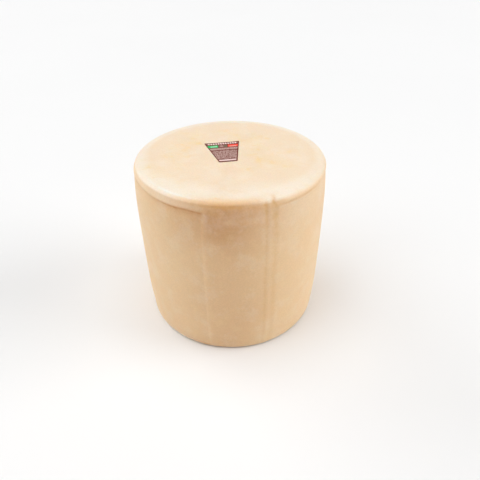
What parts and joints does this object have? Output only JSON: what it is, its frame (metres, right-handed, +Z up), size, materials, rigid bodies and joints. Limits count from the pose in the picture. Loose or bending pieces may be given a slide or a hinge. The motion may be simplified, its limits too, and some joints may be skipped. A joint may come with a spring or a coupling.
{
  "type": "whole hard cheese wheel",
  "caption": "Whole uncut drum of hard sheep's milk cheese with slightly full sides, soft shoulders, shallow mould-band marks and a paper label on top.",
  "frame": {"origin": "centre of the flat lower face that the wheel rests on", "axes": "+Z up along the wheel's axis; the label reads upright from -Y"},
  "size_m": [0.3296, 0.3308, 0.3057],
  "materials": {
    "cheese_rind": "smooth ivory rind with a waxy satin sheen, paler rim and faint yellow patches",
    "label_paper": "satin printed paper, dark brown ground with green, red and pale fields"
  },
  "bodies": {
    "root": {"cheese_wheel": "cheese_rind", "paper_label": "label_paper"}
  },
  "joints": []
}
